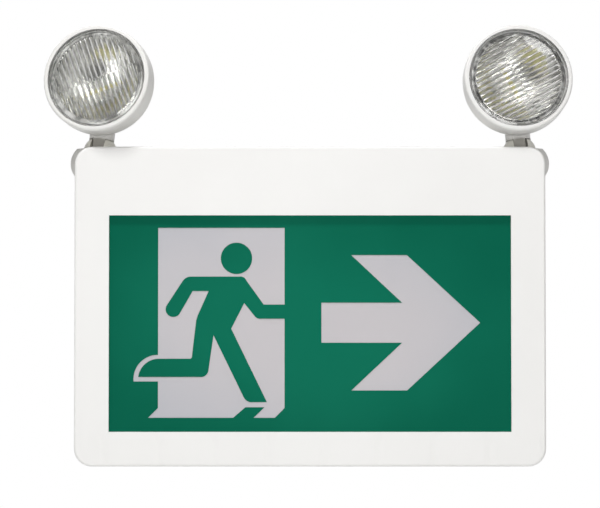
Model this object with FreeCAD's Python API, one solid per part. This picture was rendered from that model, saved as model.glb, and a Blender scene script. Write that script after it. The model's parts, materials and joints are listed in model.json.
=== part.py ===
"""Emergency exit light: an edge-lit running-figure sign with two aimable lamp heads.

Frame: X to the right, the legend faces -Y, Z up.  The origin is in the middle of the
flat back that goes on the wall.  All lengths are in millimetres.
"""
import FreeCAD, Part
import math
import os

from FreeCAD import Placement, Rotation, Vector

# --- Housing -------------------------------------------------------------------------
housing_w = 315.0
housing_h = 213.8
housing_d = 50.0
corner_r = 12.0
wall = 2.5
front_edge_r = 1.6
back_edge_r = 1.0
cover_d = 9.0            # depth of the snap-on face cover, measured from the front
cover_t = 2.2            # thickness of its front: the legend lies this far back
lip_t = 1.2
lip_d = 4.0
lip_gap = 0.15
snap_w = 12.0
snap_t = 1.6
snap_l = 7.0
snap_barb = 0.9
snap_gap = 0.3
snap_x_top = 70.0
snap_x_bottom = 95.0
stiffener_t = 1.2        # ribs under the window, inside the cover
stiffener_pitch = 36.8
stiffener_count = 5
stiffener_x = 9.4        # middle rib, right of the centre line

# --- Legend --------------------------------------------------------------------------
border = 23.1            # front frame beside and below the window
top_border = 46.1        # front frame above the window
print_t = 0.2
panel_t = 2.0
panel_margin = 4.0       # how far the panel reaches past the window, each side
panel_gap = 0.3
panel_rib_t = 1.5
panel_rib_d = 4.6
door_margin_top = 8.35   # doorway below the window's top edge
door_margin = 9.35       # and above its bottom edge; the whole figure scales to fit
door_inset = 32.8        # doorway from the window's left edge
symbol_gap = 24.6        # between the doorway and the arrow's tail
arrow_inset = 20.6       # arrow's point from the window's right edge

# --- Light box and its lamps ---------------------------------------------------------
gear_d = 28.0            # room behind the light box for the electrical parts
light_box_t = 1.5
led_bar_end = 14.4       # lamp bar's ends from the light box's ends
led_bar_w = 10.0
led_bar_t = 1.0
bar_chip_count = 16
bar_chip = (3.5, 2.8, 0.8)
post_r = 3.6
post_hole_r = 1.25
box_screw_r = 1.2
box_screw_head_r = 2.8
box_screw_head_t = 1.4
box_post_x = 66.0
box_post_inset = 14.3    # posts from the window's top and bottom edges
box_screw_bite = 5.0     # how far the screws reach into their posts
board_screw_bite = 3.0

# --- Wall fixing ---------------------------------------------------------------------
entry_r = 11.1           # wire entry for a 7/8 in knockout
entry_z = 30.0
box_hole_pitch = 88.9    # 3 1/2 in between the screws of a round junction box
box_hole_r = 2.4
keyhole_r = 4.5
keyhole_slot_r = 2.3
keyhole_l = 9.0
keyhole_side = 52.5      # keyholes from the housing's sides and top
keyhole_top = 36.9
knockout_r = 11.1
knockout_groove_w = 1.0
knockout_groove_d = 1.2

# --- Electrical parts ----------------------------------------------------------------
board_w = 112.0
board_h = 54.0
board_t = 1.6
board_x = 4.0
board_rise = 37.9        # board's middle above the underside
board_standoff = 6.0
board_screw_inset = 5.0
standoff_r = 3.4
relay_at = (-38.0, -2.0)                     # from the board's middle
relay_size = (15.0, 19.0, 15.0)              # width, height, reach off the board
cans = ((-14.0, 12.0, 5.0, 12.0), (2.0, 14.0, 4.0, 9.0))   # x, z, radius, length
bead_foot = 1.6          # a can's rolled bead, from its foot
bead_w = 0.8
bead_d = 0.5
terminal_at = (32.0, 14.0)
terminal_pitch = 7.5
terminal_h = 11.0
terminal_reach = 12.0
terminal_well = (2.0, 5.0)                   # radius and depth over each screw
terminal_mouth = (4.4, 5.0, 2.0, 7.0)        # width, depth, near and far off the board
cell_r = 7.2
cell_l = 50.0
cell_count = 3
battery_gap = 21.0       # cells' ends from the control board
battery_rise = 48.9      # battery's middle above the underside
battery_clear = 0.5
strap_w = 12.0
strap_t = 1.2
core_w = 42.0
core_h = 36.0
core_t = 14.0
core_leg = 14.0
core_gap = 25.0          # transformer's core from the control board
core_rise = 50.9
coil_h = 21.4
coil_t = 21.0
frame_t = 0.8
frame_foot = 7.5
button_x = -22.0
button_y = -17.0         # the button's and pilot lamp's line, in front of the back
button_r = 3.2
button_stem_r = 1.5
button_flange_r = 4.6
button_flange_t = 1.0
button_travel = 1.2
button_sink = 0.5        # button's end face above the underside of the housing
button_gap = 0.3
dish_r = 6.0             # shallow dish round the button and the pilot lamp
dish_d = 0.9
switch_w = 8.0
switch_l = 6.0
pilot_r = 2.5
pilot_rim_w = 0.6
pilot_rim_t = 1.2
pilot_leg = 0.5          # square legs
pilot_leg_pitch = 2.54
pilot_leg_bend = 4.0     # bend of the legs above the board's lower edge
pilot_pitch = 22.0       # pilot lamp to the right of the button

# --- Lamp heads ----------------------------------------------------------------------
knuckle_side = 15.0      # ball's middle from the housing's side
knuckle_sink = 2.6       # and below its top
knuckle_y = -25.5
knuckle_lean = 4.5       # swivel axes lean inwards, degrees
head_yaw = {"left": 11.0, "right": 3.2}       # turned outwards, degrees
head_pitch = {"left": 7.0, "right": 8.0}      # tilted up, degrees
insert_turn = {"left": -65.0, "right": 23.5}  # lens and chips turned on the lamp axis, degrees
ball_r = 11.5
socket_gap = 0.3
socket_wall = 2.5
bulge_r = 14.25
bulge_side = 9.2         # bulge's middle from the housing's side
bulge_sink = 10.1
slot_w = 9.5
tongue_t = 8.1
tongue_r = 7.5
tongue_gap = 0.3
slot_floor = 5.0         # open ends of the slot, below the pivot
pivot_r = 2.0
pivot_fit = 0.05
pivot_head_r = 3.8
pivot_head_t = 2.2
pivot_seat = 8.2         # seats of the screw head and nut, out from the ball's middle
chin_r = 8.5
chin_gap = 0.5
stem_r = 6.0
stem_bore_r = 3.4
stem_l = 23.0
stem_gap = 0.3
seat_r = 9.6
seat_z = 14.5            # flat under the socket, below the ball's middle
turret_washer_r = 9.0
turret_washer_t = 1.2
turret_gap = 0.05        # running clearance between the housing's seat and the washer
nut_af = 16.0
nut_t = 5.0
lamp_h = 45.3            # lamp axis above the pivot
lamp_front = 31.0        # rim in front of the pivot
lamp_back = 12.0
shell_r = 36.4
shell_wall = 2.0
shell_straight = 13.0
shell_back_r = 14.0
shell_bulge = 0.66       # where the back's curve passes, as a share of its way back
boss_hole_deep = 4.0
led_screw_bite = 3.5
rim_edge_r = 1.4
seat_bore_r = 33.5
seat_d = 3.6
lens_r = 32.9
lens_flange_t = 2.0
lens_ring_r = 30.9
lens_clear_r = 29.1
lens_t = 1.6
lens_set_back = 0.6      # raised ring behind the shell's rim
lens_sink = 0.3          # clear face behind the raised ring
lug_count = 12
lug_w = 1.4
reflector_r = 28.7
reflector_t = 1.2
reflector_hole_r = 9.0
reflector_end = 1.2      # back edge of the bowl, behind the pivot
led_board_r = 14.5
led_board_t = 1.6
led_board_y = 2.0
led_screw_r = 1.0
led_screw_head_r = 1.8
led_screw_head_t = 1.0
led_boss_r = 2.6
led_boss_x = 12.3
chip_count = 4
chip_pitch = 4.13
chip_size = 2.9
chip_t = 0.9

# --- Sizes that follow ---------------------------------------------------------------
window_w = housing_w - 2 * border
window_h = housing_h - border - top_border
window_z = (border - top_border) / 2
knuckle_x = housing_w / 2 - knuckle_side
knuckle_z = housing_h / 2 - knuckle_sink
bulge_x = housing_w / 2 - bulge_side
bulge_z = housing_h / 2 - bulge_sink
keyhole_x = housing_w / 2 - keyhole_side
keyhole_z = housing_h / 2 - keyhole_top
board_z = board_rise - housing_h / 2
battery_x = board_x - board_w / 2 - battery_gap - cell_l / 2
battery_z = battery_rise - housing_h / 2
core_x = board_x + board_w / 2 + core_gap + core_w / 2
core_z = core_rise - housing_h / 2
front_y = -housing_d
seam_y = front_y + cover_d
print_y = front_y + cover_t
panel_y = print_y + print_t
box_front_y = panel_y + panel_t
box_back_y = -gear_d
panel_w = window_w + 2 * panel_margin
panel_h = window_h + 2 * panel_margin
inner_back_y = -wall
board_back_y = inner_back_y - board_standoff
board_front_y = board_back_y - board_t
underside_z = -housing_h / 2
floor_z = underside_z + wall
lens_back_y = -lamp_front + seat_d
side_sign = {"left": -1, "right": 1}

os.makedirs("parts", exist_ok=True)


# --- Small helpers -------------------------------------------------------------------
def block(x, y, z):
    """A box from three (low, high) pairs."""
    size = [high - low for low, high in (x, y, z)]
    return Part.makeBox(*size, Vector(x[0], y[0], z[0]))


def centred(x, w, y, z, h):
    """A box centred on x and z, with y as a (low, high) pair."""
    return block((x - w / 2, x + w / 2), y, (z - h / 2, z + h / 2))


def rod(radius, start, end):
    """A cylinder from one point to another."""
    axis = end - start
    return Part.makeCylinder(radius, axis.Length, start, axis)


def rod_y(radius, x, z, y0, y1):
    return rod(radius, Vector(x, y0, z), Vector(x, y1, z))


def tube_y(outer, inner, x, z, y0, y1):
    return rod_y(outer, x, z, y0, y1).cut(rod_y(inner, x, z, y0, y1))


def ball(radius, centre):
    return Part.makeSphere(radius, centre)


def union(shapes):
    first, *rest = shapes
    return first.multiFuse(rest).removeSplitter() if rest else first


def rounded_slab(w, h, radius, y0, y1, z=0.0):
    """A rounded rectangle in XZ, extruded along Y."""
    slab = centred(0, w, (y0, y1), z, h)
    upright = [e for e in slab.Edges if abs(e.tangentAt(0).y) > 0.99]
    return slab.makeFillet(radius, upright) if radius > 0 else slab


def ring_slab(inset, thickness, y0, y1):
    """A closed rib that follows the housing's outline, inset from it."""
    outer = rounded_slab(housing_w - 2 * inset, housing_h - 2 * inset,
                         corner_r - inset, y0, y1)
    deep = inset + thickness
    return outer.cut(rounded_slab(housing_w - 2 * deep, housing_h - 2 * deep,
                                  corner_r - deep, y0, y1))


def revolve_y(points, z=0.0):
    """A closed outline of (y, r) points and edges, turned about a line along Y."""
    corners = [Vector(0, y, z + r) for y, r in points]
    wire = Part.makePolygon(corners + corners[:1])
    return Part.Face(wire).revolve(Vector(0, 0, z), Vector(0, 1, 0), 360)


def outline(edges):
    return Part.Face(Part.Wire(Part.__sortEdges__(edges)))


def save(name, shape):
    shape.exportStep("parts/" + name + ".step")


# --- Housing -------------------------------------------------------------------------
def ball_centre(side):
    return Vector(side_sign[side] * knuckle_x, knuckle_y, knuckle_z)


def swivel_turn(side):
    """Turn of the knuckle: leaned inwards, then swivelled outwards."""
    s = side_sign[side]
    lean = Rotation(Vector(0, 1, 0), -s * knuckle_lean)
    return lean.multiply(Rotation(Vector(0, 0, 1), s * head_yaw[side]))


def lamp_turn(side):
    return swivel_turn(side).multiply(Rotation(Vector(1, 0, 0), -head_pitch[side]))


def place(shape, side, turn):
    return shape.transformed(Placement(ball_centre(side), turn).toMatrix(), True)


def socket_cup(side):
    """The round seat under the ball, with a flat below for the washer."""
    outer = ball_r + socket_gap + socket_wall
    cup = ball(outer, Vector(0, 0, 0)).fuse(
        rod(seat_r, Vector(0, 0, -seat_z), Vector(0, 0, -seat_z / 2)))
    cup = place(cup, side, swivel_turn(side))
    top = housing_h / 2
    return cup.common(block((-housing_w, housing_w), (-housing_d, 0), (0, top)))


def socket_bore(side):
    """Room for the ball and its stem."""
    room = ball_r + socket_gap
    bore = union([ball(room, Vector(0, 0, 0)),
                  rod(room, Vector(0, 0, 0), Vector(0, 0, 2 * ball_r)),
                  rod(stem_r + stem_gap, Vector(0, 0, -2 * seat_z), Vector(0, 0, 0))])
    return place(bore, side, swivel_turn(side))


def corner_bulge(side, radius, top):
    s = side_sign[side]
    bulge = ball(radius, Vector(s * bulge_x, knuckle_y, bulge_z))
    return bulge.common(block((-housing_w, housing_w), (-housing_d, 0), (0, top)))


def keyhole(x):
    up = keyhole_z + keyhole_l
    return union([rod_y(keyhole_r, x, keyhole_z, -wall, 0),
                  rod_y(keyhole_slot_r, x, up, -wall, 0),
                  centred(x, 2 * keyhole_slot_r, (-wall, 0), (keyhole_z + up) / 2,
                          keyhole_l)])


def board_corners():
    dx = board_w / 2 - board_screw_inset
    dz = board_h / 2 - board_screw_inset
    return [(board_x + i * dx, board_z + k * dz) for i in (-1, 1) for k in (-1, 1)]


def box_corners():
    up = window_h / 2 - box_post_inset
    return [(i * box_post_x, window_z + k * up) for i in (-1, 1) for k in (-1, 1)]


def strap_posts():
    dz = cell_count * cell_r + battery_clear + strap_w / 2
    return [(battery_x, battery_z - dz), (battery_x, battery_z + dz)]


def frame_feet():
    dx = core_w / 2 + frame_t + frame_foot / 2
    return [(core_x - dx, core_z), (core_x + dx, core_z)]


def snap_places():
    """Middle, outward direction of each snap hook on the lip."""
    half_w, half_h = housing_w / 2, housing_h / 2
    places = [(i * snap_x_top, half_h, 0, 1) for i in (-1, 1)]
    places += [(i * snap_x_bottom, -half_h, 0, -1) for i in (-1, 1)]
    places += [(i * half_w, 0, i, 0) for i in (-1, 1)]
    return places


def along_wall(x, z, out_x, out_z, depths, y, width):
    """A box beside a wall: depths are (from, to) inwards from the outer face."""
    near, far = depths
    if out_x:
        xs = sorted((x - out_x * near, x - out_x * far))
        return block(xs, y, (z - width / 2, z + width / 2))
    zs = sorted((z - out_z * near, z - out_z * far))
    return block((x - width / 2, x + width / 2), y, zs)


def snap_hook(x, z, out_x, out_z):
    """A cantilever behind the lip, with a barb at its free end."""
    inner = wall + lip_gap
    root = seam_y - lip_d / 2
    tip = seam_y + lip_d + snap_l
    arm = along_wall(x, z, out_x, out_z, (inner, inner + snap_t), (root, tip), snap_w)
    barb = along_wall(x, z, out_x, out_z, (wall - snap_barb, inner + snap_t),
                      (tip - snap_t, tip), snap_w)
    return arm.fuse(barb)


def snap_pocket(x, z, out_x, out_z):
    tip = seam_y + lip_d + snap_l
    return along_wall(x, z, out_x, out_z, (wall - snap_barb - snap_gap, wall),
                      (tip - snap_t - snap_gap, tip + snap_gap), snap_w + 2 * snap_gap)


def back_tray():
    outer = rounded_slab(housing_w, housing_h, corner_r, seam_y, 0)
    rear = [e for e in outer.Edges if abs(e.BoundBox.YMin) + abs(e.BoundBox.YMax) < 1e-6]
    outer = outer.makeFillet(back_edge_r, rear)
    top = housing_h / 2
    outer = union([outer] + [corner_bulge(side, bulge_r, top) for side in side_sign])
    inner = rounded_slab(housing_w - 2 * wall, housing_h - 2 * wall, corner_r - wall,
                         seam_y, inner_back_y)
    hollows = [corner_bulge(side, bulge_r - wall, top - wall) for side in side_sign]
    return outer.cut(union([inner] + hollows))


def tray_bosses():
    """Posts and ribs that stand on the inside of the back."""
    bosses = [rod_y(post_r, x, z, box_back_y, inner_back_y) for x, z in box_corners()]
    bosses += [rod_y(standoff_r, x, z, board_back_y, inner_back_y)
               for x, z in board_corners()]
    strap_y = inner_back_y - cell_r
    bosses += [rod_y(standoff_r, x, z, strap_y, inner_back_y) for x, z in strap_posts()]
    foot_y = inner_back_y - (coil_t - core_t) / 2
    bosses += [rod_y(standoff_r, x, z, foot_y, inner_back_y) for x, z in frame_feet()]
    end = cell_l / 2 + battery_clear
    pack_h = 2 * cell_count * cell_r
    for i in (-1, 1):
        bosses.append(centred(battery_x + i * (end + wall / 2), wall,
                              (inner_back_y - cell_r, inner_back_y), battery_z, pack_h))
    return bosses


def boss_holes():
    deep = 0.6 * board_standoff
    holes = [rod_y(post_hole_r, x, z, box_back_y, box_back_y + 2 * deep)
             for x, z in box_corners()]
    holes += [rod_y(post_hole_r, x, z, board_back_y, board_back_y + deep)
              for x, z in board_corners()]
    strap_y = inner_back_y - cell_r
    holes += [rod_y(post_hole_r, x, z, strap_y, strap_y + deep) for x, z in strap_posts()]
    return holes


def back_housing():
    tray = back_tray().fuse(tray_bosses())
    tray = tray.fuse([socket_cup(side) for side in side_sign])
    cuts = [socket_bore(side) for side in side_sign] + boss_holes()
    cuts.append(rod_y(entry_r, 0, entry_z, -wall, 0))
    cuts += [rod_y(box_hole_r, i * box_hole_pitch / 2, entry_z, -wall, 0) for i in (-1, 1)]
    cuts += [keyhole(i * keyhole_x) for i in (-1, 1)]
    cuts += [snap_pocket(*spot) for spot in snap_places()]
    groove_z = housing_h / 2
    centre = (seam_y + 0) / 2
    groove = rod(knockout_r, Vector(0, centre, groove_z - knockout_groove_d),
                 Vector(0, centre, groove_z))
    core = rod(knockout_r - knockout_groove_w,
               Vector(0, centre, groove_z - knockout_groove_d),
               Vector(0, centre, groove_z))
    cuts.append(groove.cut(core))
    for x, radius in ((button_x, button_r), (button_x + pilot_pitch, pilot_r)):
        cuts.append(rod(radius + button_gap, Vector(x, button_y, underside_z),
                        Vector(x, button_y, floor_z)))
        cuts.append(rod(dish_r, Vector(x, button_y, underside_z),
                        Vector(x, button_y, underside_z + dish_d)))
    return tray.cut(cuts).removeSplitter()


def face_cover():
    """The front frame: a shallow tray with the window, lip, hooks and inner ribs."""
    outer = rounded_slab(housing_w, housing_h, corner_r, front_y, seam_y)
    front = [e for e in outer.Edges
             if abs(e.BoundBox.YMin - front_y) + abs(e.BoundBox.YMax - front_y) < 1e-6]
    outer = outer.makeFillet(front_edge_r, front)
    inner = rounded_slab(housing_w - 2 * wall, housing_h - 2 * wall, corner_r - wall,
                         print_y, seam_y)
    body = outer.cut(inner).cut(centred(0, window_w, (front_y, print_y), window_z, window_h))
    root = seam_y - lip_d / 2
    step = ring_slab(wall / 2, wall / 2 + lip_gap + lip_t, root, seam_y)
    lip = ring_slab(wall + lip_gap, lip_t, root, seam_y + lip_d)
    hooks = [snap_hook(*spot) for spot in snap_places()]
    fit_w, fit_h = panel_w + 2 * panel_gap, panel_h + 2 * panel_gap
    rib_y = (print_y, print_y + panel_rib_d)
    frame = centred(0, fit_w + 2 * panel_rib_t, rib_y, window_z, fit_h + 2 * panel_rib_t)
    frame = frame.cut(centred(0, fit_w, rib_y, window_z, fit_h))
    low = window_z - fit_h / 2 - panel_rib_t / 2
    ribs = []
    for i in range(stiffener_count):
        x = stiffener_x + (i - (stiffener_count - 1) / 2) * stiffener_pitch
        ribs.append(block((x - stiffener_t / 2, x + stiffener_t / 2), rib_y,
                          (floor_z - wall / 2, low)))
    body = body.fuse([step, lip, frame] + hooks + ribs)
    clear = socket_wall + ball_r + 2 * socket_gap
    rooms = [ball(clear, ball_centre(side)) for side in side_sign]
    rooms += [corner_bulge(side, bulge_r + socket_gap, housing_h) for side in side_sign]
    return body.cut(rooms).removeSplitter()


# --- Legend --------------------------------------------------------------------------
def symbol_scale():
    """The doorway and its figure are drawn for a door 126.9 mm high."""
    drawn_h = 126.9
    return (window_h - door_margin_top - door_margin) / drawn_h


def symbol_point(u, v):
    """A point of the drawing, measured from the doorway's low left corner."""
    scale = symbol_scale()
    left = -window_w / 2 + door_inset
    low = window_z - window_h / 2 + door_margin
    return Vector(left + scale * u, print_y, low + scale * v)


def symbol_face(path):
    """A face from a path of points; a triple (end, via) makes an arc to end through via."""
    edges = []
    last = symbol_point(*path[-1][:2])
    for step in path:
        end = symbol_point(*step[:2])
        if len(step) == 4:
            edges.append(Part.Arc(last, symbol_point(*step[2:]), end).toShape())
        else:
            edges.append(Part.makeLine(last, end))
        last = end
    return Part.Face(Part.Wire(edges))


def doorway():
    door = symbol_face([(0, 126.9), (84.6, 126.9), (84.6, 6.5), (78.1, 0), (-6.6, 0),
                        (0, 6.5)])
    foot_edge = symbol_face([(0, 24.2), (0, 42.0), (-16.3, 24.2, -11.9, 37.0)])
    return door.fuse(foot_edge)


def runner():
    """The running figure without its head, drawn as one outline."""
    return symbol_face([
        (54.1, 94.3), (59.1, 91.6, 57.2, 93.8),
        (70.6, 75.6), (84.7, 75.6), (84.7, 66.1),
        (68.6, 66.1), (64.6, 67.9, 66.3, 66.5),
        (57.6, 76.6), (48.9, 59.5), (72.8, 10.4),
        (61.6, 10.4), (56.6, 15.2, 58.6, 12.0),
        (37.1, 55.1), (33.8, 32.5), (28.1, 27.2, 32.2, 28.6),
        (-13.2, 27.2), (0, 39.4, -9.2, 35.4),
        (21.5, 39.4), (22.7, 41.0, 22.4, 40.0),
        (25.5, 65.1), (26.6, 68.5), (33.8, 84.6), (23.1, 84.6),
        (14.3, 69.3), (5.8, 75.1, 7.6, 68.0),
        (16.3, 91.1), (21.5, 94.3, 18.6, 93.4)])


def floor_patch():
    return symbol_face([(50.1, -0.1), (58.4, 7.0), (71.1, 7.0), (63.8, -0.1)])


def arrow():
    """The arrow's proportions, as shares of its length, from the point."""
    tail = symbol_point(84.6, 0).x + symbol_gap
    middle = (symbol_point(0, 126.9).z + symbol_point(0, 0).z) / 2
    tip = Vector(window_w / 2 - arrow_inset, print_y, middle)
    scale = tip.x - tail
    half = [(0, 0), (-0.461, 0.426), (-0.812, 0.426), (-0.492, 0.126), (-1, 0.126)]
    path = half + [(u, -v) for u, v in reversed(half[1:])]
    points = [tip + Vector(scale * u, 0, scale * v) for u, v in path]
    return Part.Face(Part.makePolygon(points + points[:1]))


def legend_print():
    """The green field with its cut-outs, and the head as a disc of its own."""
    field = centred(0, panel_w, (print_y, panel_y), window_z, panel_h)
    head_at = symbol_point(52.4, 106.5)
    head_r = symbol_scale() * 10.5
    opening = doorway().cut(runner()).cut(floor_patch())
    thick = Vector(0, print_t, 0)
    cuts = [face.extrude(thick) for face in opening.Faces] + [arrow().extrude(thick)]
    head = rod(head_r, head_at, head_at + thick)
    return Part.makeCompound(field.cut(cuts).Solids + [head])


def legend_panel():
    return centred(0, panel_w, (panel_y, box_front_y), window_z, panel_h)


# --- Light box -----------------------------------------------------------------------
def light_box():
    """An open white tray that presses the panel forwards and holds the lamp bars."""
    tray = centred(0, panel_w, (box_front_y, box_back_y), window_z, panel_h)
    deep = 2 * light_box_t
    tray = tray.cut(centred(0, panel_w - deep, (box_front_y, box_back_y - light_box_t),
                            window_z, panel_h - deep))
    holes = [rod_y(box_screw_r + button_gap, x, z, box_back_y - light_box_t, box_back_y)
             for x, z in box_corners()]
    slot_z = window_z - panel_h / 2 + 3 * light_box_t
    holes.append(centred(0, led_bar_w, (box_back_y - light_box_t, box_back_y), slot_z,
                         2 * light_box_t))
    return tray.cut(holes)


def cross_screw(x, z, y, shank):
    """A pan-head screw that goes in along +Y from a seat at y, with a cross recess."""
    screw = rod_y(box_screw_r, x, z, y, y + shank).fuse(
        rod_y(box_screw_head_r, x, z, y - box_screw_head_t, y))
    deep = (y - box_screw_head_t, y - box_screw_head_t / 2)
    arm = 1.3 * box_screw_head_r
    thin = 0.2 * box_screw_head_r
    return screw.cut([centred(x, arm, deep, z, thin), centred(x, thin, deep, z, arm)])


def light_box_screws():
    seat = box_back_y - light_box_t
    return Part.makeCompound([cross_screw(x, z, seat, light_box_t + box_screw_bite)
                              for x, z in box_corners()])


def bar_z(up):
    """Inner face of the light box that a lamp bar is stuck to."""
    return window_z + up * (panel_h / 2 - light_box_t)


def led_bar(up):
    z = bar_z(up)
    y = (box_front_y + box_back_y) / 2
    half = panel_w / 2 - led_bar_end
    return block((-half, half), (y - led_bar_w / 2, y + led_bar_w / 2),
                 sorted((z, z - up * led_bar_t)))


def bar_chips(up):
    length, width, height = bar_chip
    z = bar_z(up) - up * led_bar_t
    y = (box_front_y + box_back_y) / 2
    pitch = (panel_w - 2 * led_bar_end) / bar_chip_count
    chips = []
    for i in range(bar_chip_count):
        x = (i - (bar_chip_count - 1) / 2) * pitch
        chips.append(block((x - length / 2, x + length / 2),
                           (y - width / 2, y + width / 2),
                           sorted((z, z - up * height))))
    return Part.makeCompound(chips)


# --- Electrical parts ----------------------------------------------------------------
def control_board():
    board = centred(board_x, board_w, (board_front_y, board_back_y), board_z, board_h)
    return board.cut([rod_y(box_screw_r + button_gap, x, z, board_front_y, board_back_y)
                      for x, z in board_corners()])


def board_screws():
    return Part.makeCompound([cross_screw(x, z, board_front_y, board_t + board_screw_bite)
                              for x, z in board_corners()])


def on_board(x, z, w, h, tall):
    """A box on the front of the control board, placed from the board's middle."""
    return centred(board_x + x, w, (board_front_y - tall, board_front_y), board_z + z, h)


def relay():
    return on_board(*relay_at, *relay_size)


def board_capacitors():
    """Two cans standing on the board, each with the bead near its foot."""
    made = []
    for x, z, radius, tall in cans:
        cx, cz = board_x + x, board_z + z
        can = rod_y(radius, cx, cz, board_front_y - tall, board_front_y)
        foot = board_front_y - bead_foot
        bead = tube_y(radius + bead_d, radius - bead_d, cx, cz, foot - bead_w, foot)
        made.append(can.cut(bead))
    return Part.makeCompound(made)


def terminal_block():
    """A three-way block with screw wells in front and wire openings on top."""
    x, z = terminal_at
    well_r, well_deep = terminal_well
    mouth_w, mouth_deep, near, far = terminal_mouth
    body = on_board(x, z, 3 * terminal_pitch, terminal_h, terminal_reach)
    face = board_front_y - terminal_reach
    top = board_z + z + terminal_h / 2
    cuts = []
    for i in (-1, 0, 1):
        cx = board_x + x + i * terminal_pitch
        cuts.append(rod_y(well_r, cx, board_z + z, face, face + well_deep))
        cuts.append(block((cx - mouth_w / 2, cx + mouth_w / 2),
                          (board_front_y - far, board_front_y - near),
                          (top - mouth_deep, top)))
    return body.cut(cuts)


def battery_pack():
    """Three cells side by side in one heat-shrunk sleeve."""
    y = inner_back_y - cell_r
    half = cell_l / 2
    cells = []
    for i in range(cell_count):
        z = battery_z + (i - (cell_count - 1) / 2) * 2 * cell_r
        cells.append(rod(cell_r, Vector(battery_x - half, y, z),
                         Vector(battery_x + half, y, z)))
    web = 0.7 * cell_r
    middle = centred(battery_x, cell_l, (y - web, y + web), battery_z,
                     2 * (cell_count - 1) * cell_r)
    return union(cells + [middle])


def battery_strap():
    """A flat strap over the pack, with a foot screwed to a post at each end."""
    top = inner_back_y - 2 * cell_r
    foot_y = inner_back_y - cell_r
    reach = cell_count * cell_r + battery_clear
    foot = strap_w
    over = centred(battery_x, strap_w, (top - strap_t, top), battery_z,
                   2 * (reach + strap_t))
    pieces = [over]
    for k in (-1, 1):
        leg = sorted((battery_z + k * reach, battery_z + k * (reach + strap_t)))
        end = sorted((battery_z + k * reach, battery_z + k * (reach + foot)))
        xs = (battery_x - strap_w / 2, battery_x + strap_w / 2)
        pieces.append(block(xs, (top - strap_t, foot_y), leg))
        pieces.append(block(xs, (foot_y - strap_t, foot_y), end))
    holes = [rod_y(box_screw_r + button_gap, x, z, foot_y - strap_t, foot_y)
             for x, z in strap_posts()]
    return union(pieces).cut(holes)


def strap_screws():
    seat = inner_back_y - cell_r - strap_t
    return Part.makeCompound([cross_screw(x, z, seat, strap_t + board_screw_bite)
                              for x, z in strap_posts()])


def core_middle_y():
    return inner_back_y - coil_t / 2


def transformer_core():
    """Stacked laminations: an outer ring, with a leg through the winding."""
    y = core_middle_y()
    depth = (y - core_t / 2, y + core_t / 2)
    core = centred(core_x, core_w, depth, core_z, core_h)
    side = (core_w - core_leg) / 4
    gap = core_leg / 2 + side / 2
    windows = [centred(core_x + i * gap, side, depth, core_z, coil_h) for i in (-1, 1)]
    return core.cut(windows)


def transformer_coil():
    """The winding on its bobbin, round the middle leg."""
    y = core_middle_y()
    side = (core_w - core_leg) / 4
    outer = centred(core_x, core_leg + 2 * side, (y - coil_t / 2, y + coil_t / 2),
                    core_z, coil_h)
    long_edges = [e for e in outer.Edges if abs(e.tangentAt(0).z) > 0.99]
    outer = outer.makeFillet(2.0, long_edges)
    return outer.cut(centred(core_x, core_leg, (y - core_t / 2, y + core_t / 2),
                             core_z, coil_h))


def transformer_frame():
    """The bent steel strap that clamps the core to two posts."""
    y = core_middle_y()
    foot_y = y + core_t / 2
    top = y - core_t / 2
    width = 0.6 * core_h
    half = core_w / 2
    pieces = []
    for i in (-1, 1):
        leg = sorted((core_x + i * half, core_x + i * (half + frame_t)))
        foot = sorted((core_x + i * half, core_x + i * (half + frame_t + frame_foot)))
        zs = (core_z - width / 2, core_z + width / 2)
        pieces.append(block(leg, (top - frame_t, foot_y), zs))
        pieces.append(block(foot, (foot_y - frame_t, foot_y), zs))
        side = (core_w - core_leg) / 4
        cap = sorted((core_x + i * (half + frame_t), core_x + i * (half - side)))
        pieces.append(block(cap, (top - frame_t, top), zs))
    return Part.makeCompound([union(pieces[:3]), union(pieces[3:])])


def test_switch():
    """The push switch that the button works, with a well for the button's stem."""
    low = board_z - board_h / 2
    body = block((button_x - switch_w / 2, button_x + switch_w / 2),
                 (button_y - switch_w / 2, board_front_y), (low, low + switch_l))
    well = rod(button_stem_r + button_gap, Vector(button_x, button_y, low),
               Vector(button_x, button_y, low + 0.6 * switch_l))
    return body.cut(well)


def test_button():
    """The cap: its end shows in the underside, its flange keeps it in."""
    low = board_z - board_h / 2
    face = underside_z + button_sink
    flange = floor_z + button_gap
    cap = rod(button_r, Vector(button_x, button_y, face),
              Vector(button_x, button_y, flange))
    disc = rod(button_flange_r, Vector(button_x, button_y, flange),
               Vector(button_x, button_y, flange + button_flange_t))
    stem = rod(button_stem_r, Vector(button_x, button_y, flange),
               Vector(button_x, button_y, low + button_travel))
    return union([cap, disc, stem])


def charge_lamp():
    """The pilot lamp in the underside, on two legs from the control board."""
    x = button_x + pilot_pitch
    half = pilot_leg / 2
    bend = board_z - board_h / 2 + pilot_leg_bend
    tip = underside_z + button_sink + pilot_r
    seat = floor_z + button_gap
    dome = ball(pilot_r, Vector(x, button_y, tip))
    body = rod(pilot_r, Vector(x, button_y, tip), Vector(x, button_y, seat))
    rim = rod(pilot_r + pilot_rim_w, Vector(x, button_y, seat),
              Vector(x, button_y, seat + pilot_rim_t))
    legs = []
    for i in (-1, 1):
        middle = x + i * pilot_leg_pitch / 2
        across = (middle - half, middle + half)
        legs.append(block(across, (button_y - half, button_y + half), (seat, bend)))
        legs.append(block(across, (button_y - half, board_front_y),
                          (bend - pilot_leg, bend)))
    return union([dome, body, rim] + legs)


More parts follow.
